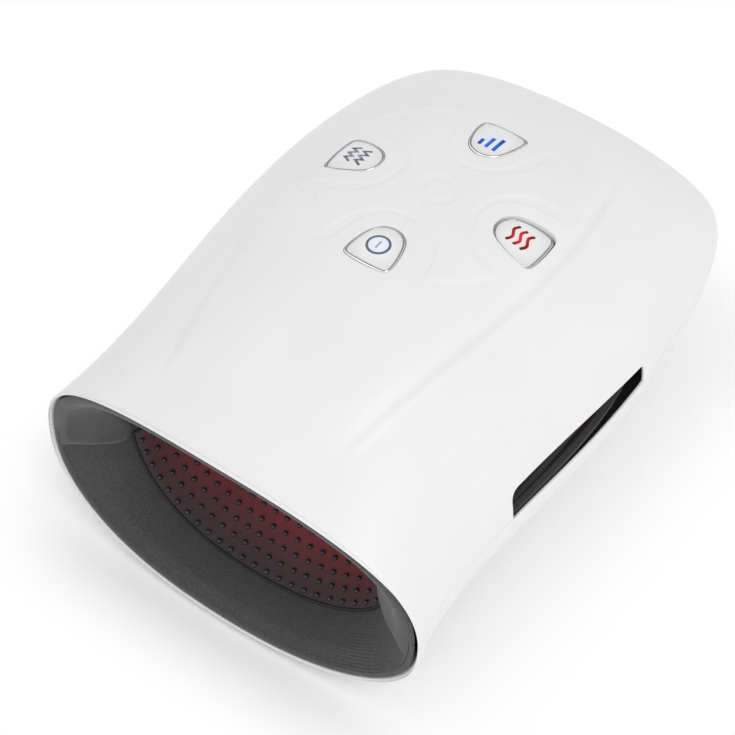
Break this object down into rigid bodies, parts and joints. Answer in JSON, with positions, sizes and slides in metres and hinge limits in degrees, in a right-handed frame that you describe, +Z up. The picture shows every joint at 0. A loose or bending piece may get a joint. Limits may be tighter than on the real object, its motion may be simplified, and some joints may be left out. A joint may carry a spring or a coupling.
{
  "type": "hand massager",
  "caption": "Domed white hand massager: a soft-lined hand cavity with airbags, heat and nub mat, thumb slots in the sides and push buttons on top.",
  "frame": {"origin": "on the surface that the feet stand on, under the middle of the body's bounding box", "axes": "+X to the user's right, +Y from the mouth to the closed end, +Z up"},
  "size_m": [0.1712, 0.234, 0.1131],
  "materials": {
    "white_shell": "satin white",
    "cap_white": "smooth white",
    "chrome_ring": "polished",
    "grey_knit": "fine grey melange knit",
    "nub_rubber": "dark, satin",
    "heat_film": "amber film",
    "bag_film": "soft grey film",
    "frame_plastic": "black, moulded",
    "board_green": "green laminate",
    "switch_black": "black",
    "switch_red": "red",
    "cell_silver": "silver shrink wrap",
    "steel": "brushed",
    "pump_black": "black, moulded",
    "brass": "machined",
    "foam_grey": "grey foam",
    "hose_clear": "milky silicone",
    "foot_rubber": "matt"
  },
  "bodies": {
    "case": {"upper_shell": "white_shell", "lower_shell": "white_shell", "upper_liner": "grey_knit", "lower_liner": "grey_knit", "nub_mat": "nub_rubber", "heating_film": "heat_film", "palm_airbag": "bag_film", "hand_airbag": "bag_film", "finger_airbag": "bag_film", "upper_frame": "frame_plastic", "bezel_power": "chrome_ring", "switch_power": "switch_black", "bezel_heat": "chrome_ring", "switch_heat": "switch_black", "bezel_intensity": "chrome_ring", "switch_intensity": "switch_black", "bezel_mode": "chrome_ring", "switch_mode": "switch_black", "main_board": "board_green", "controller_chip": "switch_black", "battery_pack": "cell_silver", "rear_tray": "frame_plastic", "port_board": "board_green", "charge_port": "steel", "valve_block": "frame_plastic", "valve_coil_1": "pump_black", "valve_coil_2": "pump_black", "pump_motor": "steel", "pump_housing": "pump_black", "pump_diaphragm": "nub_rubber", "pump_head": "pump_black", "pump_cradle": "foam_grey", "hose_pump": "hose_clear", "hose_upper": "hose_clear", "hose_palm": "hose_clear", "foot_1": "foot_rubber", "foot_2": "foot_rubber", "foot_3": "foot_rubber", "foot_4": "foot_rubber", "case_screw_1": "steel", "case_screw_2": "steel", "case_screw_3": "steel", "case_screw_4": "steel"},
    "power_button": {"button_power": "cap_white"},
    "heat_button": {"button_heat": "cap_white"},
    "intensity_button": {"button_intensity": "cap_white"},
    "mode_button": {"button_mode": "cap_white"},
    "power_plunger": {"switch_plunger_power": "switch_red"},
    "heat_plunger": {"switch_plunger_heat": "switch_red"},
    "intensity_plunger": {"switch_plunger_intensity": "switch_red"},
    "mode_plunger": {"switch_plunger_mode": "switch_red"},
    "rotor": {"pump_rotor": "brass"},
    "valve_1_plunger": {"valve_plunger_1": "steel"},
    "valve_2_plunger": {"valve_plunger_2": "steel"}
  },
  "joints": [
    {"name": "button_power_press", "type": "slide", "parent": "case", "child": "power_button", "axis": [0, 0, -1], "range_m": [0, 0.0006], "stiffness_N_per_m": 2000, "springref_m": -0.0003},
    {"name": "button_heat_press", "type": "slide", "parent": "case", "child": "heat_button", "axis": [0, 0, -1], "range_m": [0, 0.0006], "stiffness_N_per_m": 2000, "springref_m": -0.0003},
    {"name": "button_intensity_press", "type": "slide", "parent": "case", "child": "intensity_button", "axis": [0, 0, -1], "range_m": [0, 0.0006], "stiffness_N_per_m": 2000, "springref_m": -0.0003},
    {"name": "button_mode_press", "type": "slide", "parent": "case", "child": "mode_button", "axis": [0, 0, -1], "range_m": [0, 0.0006], "stiffness_N_per_m": 2000, "springref_m": -0.0003},
    {"name": "switch_plunger_power_slide", "type": "slide", "parent": "case", "child": "power_plunger", "axis": [0, 0, -1], "range_m": [0, 0.0006]},
    {"name": "switch_plunger_heat_slide", "type": "slide", "parent": "case", "child": "heat_plunger", "axis": [0, 0, -1], "range_m": [0, 0.0006]},
    {"name": "switch_plunger_intensity_slide", "type": "slide", "parent": "case", "child": "intensity_plunger", "axis": [0, 0, -1], "range_m": [0, 0.0006]},
    {"name": "switch_plunger_mode_slide", "type": "slide", "parent": "case", "child": "mode_plunger", "axis": [0, 0, -1], "range_m": [0, 0.0006]},
    {"name": "pump_rotor_spin", "type": "hinge", "parent": "case", "child": "rotor", "pos_m": [-0.056, 0.0908, 0.0443], "axis": [1, 0, 0], "continuous": true},
    {"name": "valve_plunger_1_lift", "type": "slide", "parent": "case", "child": "valve_1_plunger", "axis": [0, 0, -1], "range_m": [0, 0.0008], "stiffness_N_per_m": 600, "springref_m": -0.0003},
    {"name": "valve_plunger_2_lift", "type": "slide", "parent": "case", "child": "valve_2_plunger", "axis": [0, 0, -1], "range_m": [0, 0.0008], "stiffness_N_per_m": 600, "springref_m": -0.0003}
  ],
  "couplings": [
    {"joint": "switch_plunger_power_slide", "follows": "button_power_press", "ratio": 1},
    {"joint": "switch_plunger_heat_slide", "follows": "button_heat_press", "ratio": 1},
    {"joint": "switch_plunger_intensity_slide", "follows": "button_intensity_press", "ratio": 1},
    {"joint": "switch_plunger_mode_slide", "follows": "button_mode_press", "ratio": 1}
  ]
}
